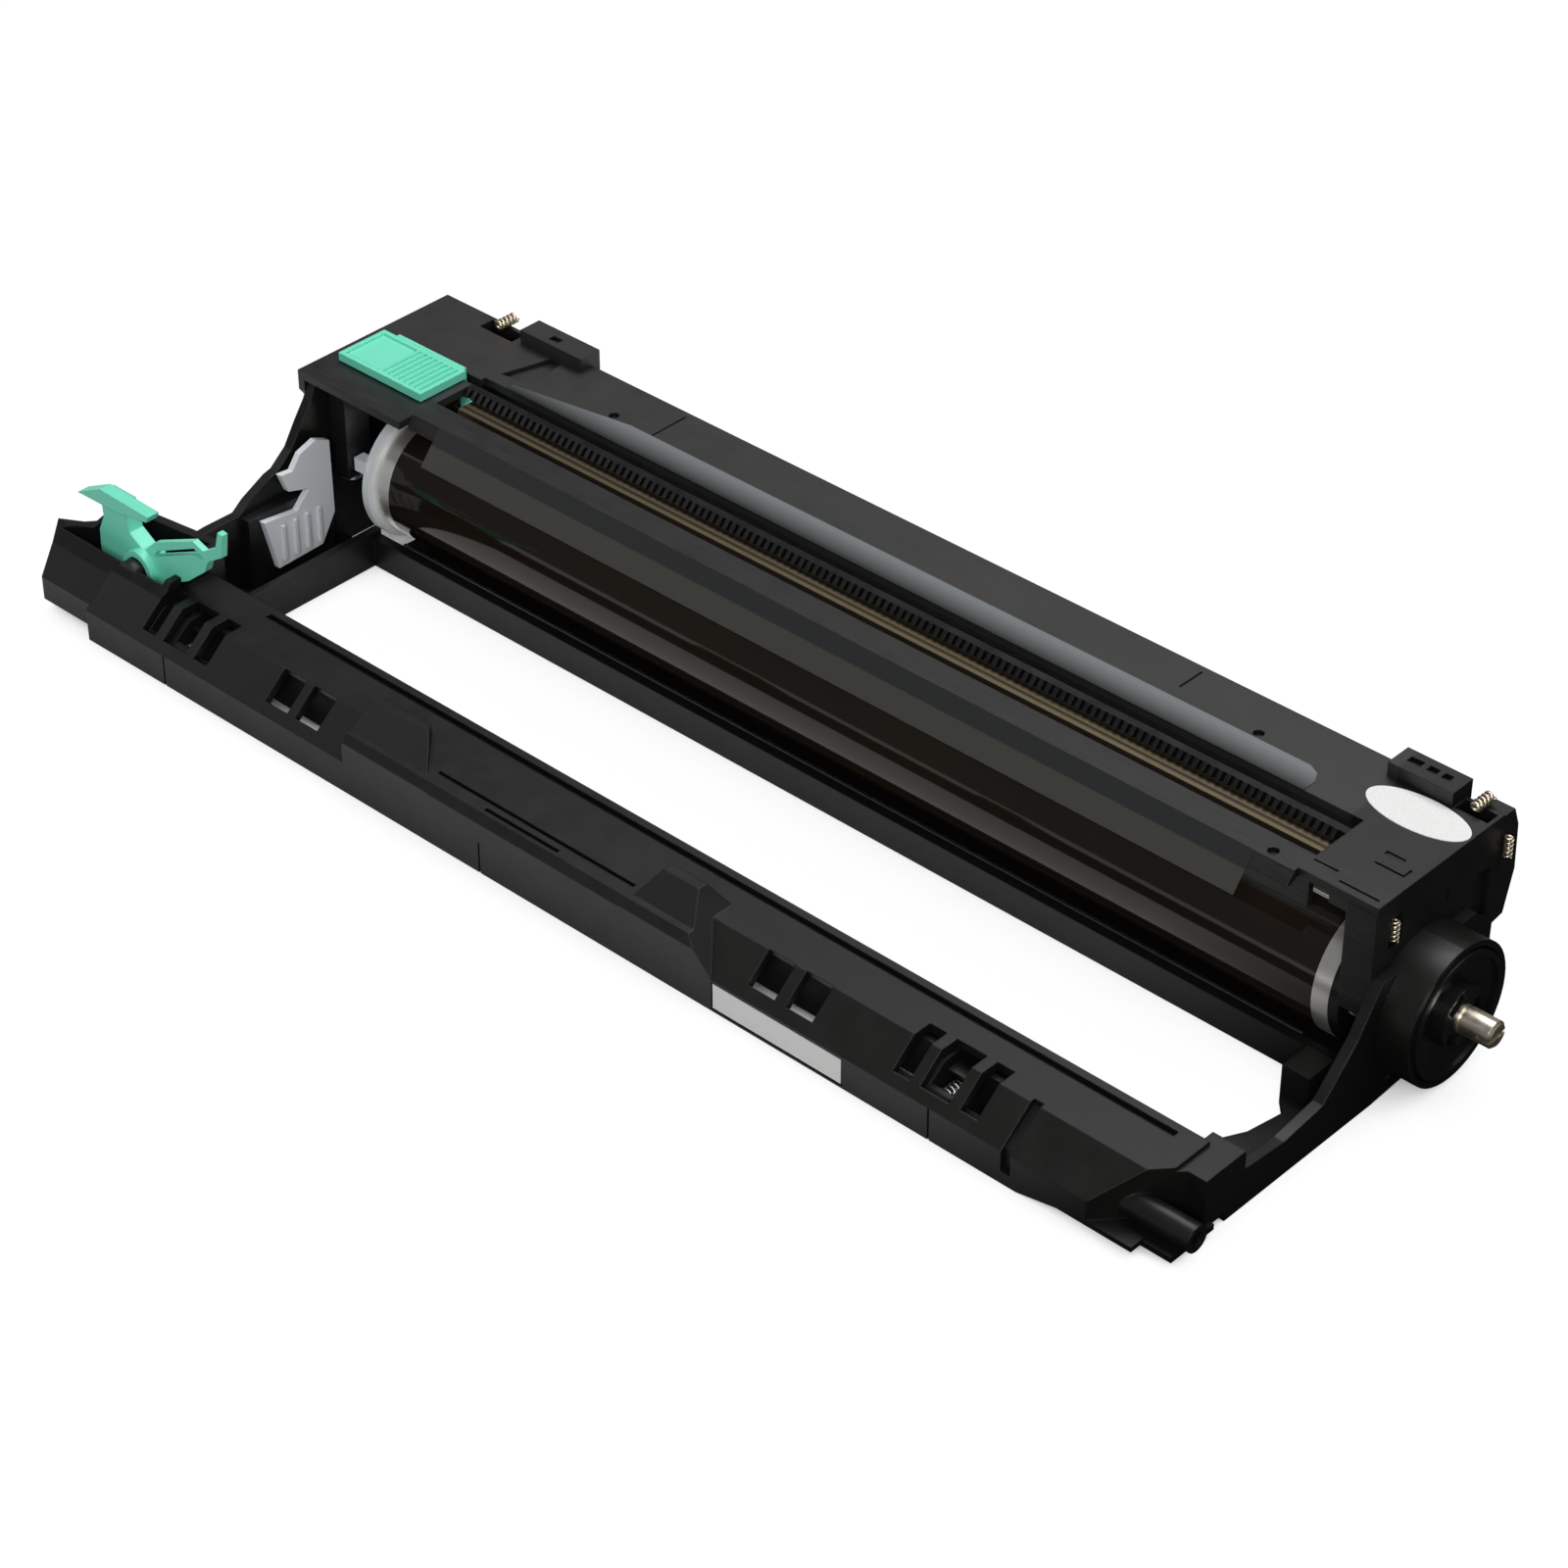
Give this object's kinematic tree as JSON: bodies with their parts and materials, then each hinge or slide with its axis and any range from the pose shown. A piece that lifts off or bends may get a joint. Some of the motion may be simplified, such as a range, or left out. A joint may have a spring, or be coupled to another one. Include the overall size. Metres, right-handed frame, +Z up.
{
  "type": "printer drum unit",
  "caption": "Drum unit for a laser printer: coated drum on a drive shaft in a black frame, with charger, wire cleaner, sprung lock lever, pressers and handle beam.",
  "frame": {"origin": "bottom centre of the unit's bounding box, on the table it stands on", "axes": "+X along the drum towards the drive coupling, +Y from the handle beam to the drum, +Z up"},
  "size_m": [0.346, 0.113, 0.0505],
  "materials": {
    "base_plastic": "satin black moulded ABS blend",
    "housing_plastic": "satin black moulded ABS blend, finely grained top",
    "comb_plastic": "satin",
    "grid_gold": "gold plated etched sheet",
    "wire_metal": "bright drawn",
    "holder_plastic": "satin",
    "spring_steel": "bright drawn",
    "bush_plastic": "satin acetal",
    "contact_plate": "tin plated",
    "contact_wire": "plated spring wire",
    "bearing_plastic": "satin acetal",
    "front_film_sheet": "glossy polyester film",
    "rear_film_sheet": "glossy polyester film",
    "rod_steel": "ground",
    "guide_plastic": "satin pale grey",
    "sticker_paper": "plain white, bare",
    "label_paper": "plain white, bare",
    "screw_steel": "zinc plated",
    "drum_coating": "aluminium tube with a smooth dark brown coating",
    "left_flange_plastic": "satin pale grey",
    "right_flange_plastic": "satin",
    "shaft_steel": "ground",
    "coupling_plastic": "satin acetal",
    "roller_foam": "fine foam",
    "cleaner_green": "satin mint green",
    "cleaner_felt": "felt",
    "lever_green": "satin mint green",
    "presser_plastic": "satin"
  },
  "bodies": {
    "unit_frame": {"base_frame": "base_plastic", "upper_housing": "housing_plastic", "charger_comb": "comb_plastic", "charge_grid": "grid_gold", "corona_wire": "wire_metal", "left_wire_holder": "holder_plastic", "right_wire_holder": "holder_plastic", "wire_spring": "spring_steel", "left_drum_bush": "bush_plastic", "right_drum_bush": "bush_plastic", "earth_contact": "contact_plate", "left_roller_bearing": "bearing_plastic", "right_roller_bearing": "bearing_plastic", "rear_left_contact": "contact_wire", "rear_right_contact": "contact_wire", "side_front_contact": "contact_wire", "side_rear_contact": "contact_wire", "front_film": "front_film_sheet", "rear_film": "rear_film_sheet", "rail_rod": "rod_steel", "toner_guide": "guide_plastic", "oval_sticker": "sticker_paper", "beam_label": "label_paper", "housing_screws": "screw_steel", "lock_lever_spring": "spring_steel", "left_presser_spring": "spring_steel", "right_presser_spring": "spring_steel"},
    "drum": {"drum_tube": "drum_coating", "left_drum_flange": "left_flange_plastic", "right_drum_flange": "right_flange_plastic", "drum_shaft": "shaft_steel", "drum_coupling": "coupling_plastic"},
    "roller": {"cleaning_roller": "roller_foam", "cleaning_roller_shaft": "rod_steel"},
    "cleaner": {"wire_cleaner_tab": "cleaner_green", "wire_cleaner_pad": "cleaner_felt"},
    "lever": {"lock_lever": "lever_green"},
    "left_presser_body": {"left_presser": "presser_plastic"},
    "right_presser_body": {"right_presser": "presser_plastic"}
  },
  "joints": [
    {"name": "drum_spin", "type": "hinge", "parent": "unit_frame", "child": "drum", "pos_m": [0, 0.0255, 0.0175], "axis": [1, 0, 0], "continuous": true},
    {"name": "roller_spin", "type": "hinge", "parent": "unit_frame", "child": "roller", "pos_m": [0, 0.0443, 0.0141], "axis": [1, 0, 0], "continuous": true},
    {"name": "cleaner_slide", "type": "slide", "parent": "unit_frame", "child": "cleaner", "axis": [1, 0, 0], "range_m": [0, 0.236]},
    {"name": "lever_press", "type": "hinge", "parent": "unit_frame", "child": "lever", "pos_m": [-0.1474, -0.0415, 0.0146], "axis": [0, 1, 0], "range_deg": [-12, 0], "stiffness_Nm_per_rad": 0.1, "springref_deg": 8.59, "deforming": ["lock_lever_spring"]},
    {"name": "left_presser_slide", "type": "slide", "parent": "unit_frame", "child": "left_presser_body", "axis": [0, 1, 0], "range_m": [-0.003, 0], "stiffness_N_per_m": 500, "springref_m": 0.002, "deforming": ["left_presser_spring"]},
    {"name": "right_presser_slide", "type": "slide", "parent": "unit_frame", "child": "right_presser_body", "axis": [0, 1, 0], "range_m": [-0.003, 0], "stiffness_N_per_m": 500, "springref_m": 0.002, "deforming": ["right_presser_spring"]}
  ],
  "couplings": [
    {"joint": "roller_spin", "follows": "drum_spin", "ratio": -3.8462}
  ]
}
